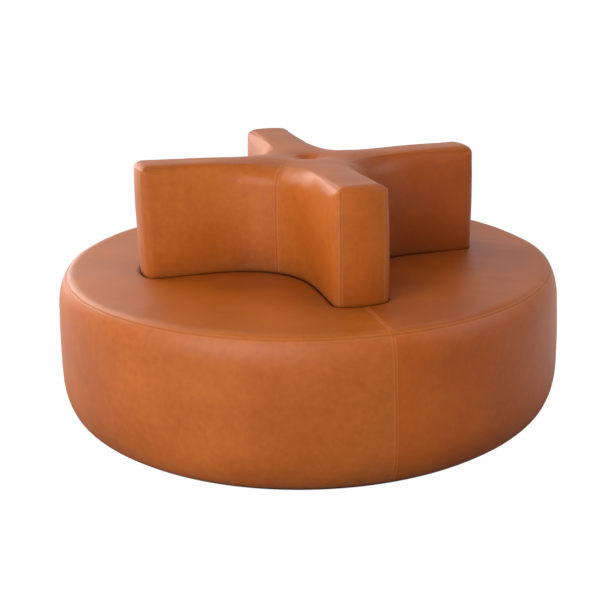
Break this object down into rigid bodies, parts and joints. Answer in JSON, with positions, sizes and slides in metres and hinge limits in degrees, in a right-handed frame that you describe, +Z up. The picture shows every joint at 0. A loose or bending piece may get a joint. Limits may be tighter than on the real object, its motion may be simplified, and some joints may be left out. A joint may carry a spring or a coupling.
{
  "type": "round leather island seat",
  "caption": "Round drum-shaped leather seat for several sitters back to back, with a cross-shaped upholstered back cushion, a buttoned top and topstitched seams.",
  "frame": {"origin": "centre of the seat on the floor, under the glides", "axes": "+Z up along the seat's axis; the back's arms lie along X and Y, and the arm at the front of the picture points along -Y"},
  "size_m": [1.5, 1.5, 0.7397],
  "materials": {
    "leather": "cognac semi-aniline leather, soft sheen, fine grain",
    "plywood": "raw birch plywood",
    "foam": "open-cell polyurethane foam",
    "wadding": "bonded polyester wadding",
    "dust_cloth": "black spun-bonded cloth",
    "glide_nylon": "moulded nylon",
    "spacer_plastic": "moulded plastic tube",
    "zinc_steel": "zinc-plated steel",
    "twine": "waxed button twine"
  },
  "bodies": {
    "root": {"glide_feet": "glide_nylon", "glide_screws": "zinc_steel", "back_bolts": "zinc_steel", "bolt_washers": "zinc_steel", "tee_nuts": "zinc_steel", "tuft_anchor": "zinc_steel", "dust_cover": "dust_cloth", "base_board": "plywood", "core_box": "plywood", "rib_1": "plywood", "rib_2": "plywood", "rib_3": "plywood", "rib_4": "plywood", "rib_5": "plywood", "rib_6": "plywood", "rib_7": "plywood", "rib_8": "plywood", "wall_board_left": "plywood", "wall_board_right": "plywood", "seat_deck": "plywood", "foot_cross": "plywood", "upright_panel_long": "plywood", "upright_panel_cross": "plywood", "head_cross": "plywood", "end_board_front": "plywood", "end_board_right": "plywood", "end_board_back": "plywood", "end_board_left": "plywood", "side_foam": "foam", "seat_foam": "foam", "end_foam_front": "foam", "end_foam_right": "foam", "end_foam_back": "foam", "end_foam_left": "foam", "corner_foam_front_right": "foam", "corner_foam_back_right": "foam", "corner_foam_back_left": "foam", "corner_foam_front_left": "foam", "top_foam": "foam", "seat_wadding": "wadding", "side_leather_left": "leather", "side_leather_right": "leather", "seat_leather_left": "leather", "seat_leather_right": "leather", "end_leather_front": "leather", "end_leather_right": "leather", "end_leather_back": "leather", "end_leather_left": "leather", "flank_leather_front_right_a": "leather", "flank_leather_front_right_b": "leather", "flank_leather_back_right_a": "leather", "flank_leather_back_right_b": "leather", "flank_leather_back_left_a": "leather", "flank_leather_back_left_b": "leather", "flank_leather_front_left_a": "leather", "flank_leather_front_left_b": "leather", "top_leather": "leather", "tuft_button": "leather", "bolt_spacers": "spacer_plastic", "tuft_twine": "twine"}
  },
  "joints": []
}
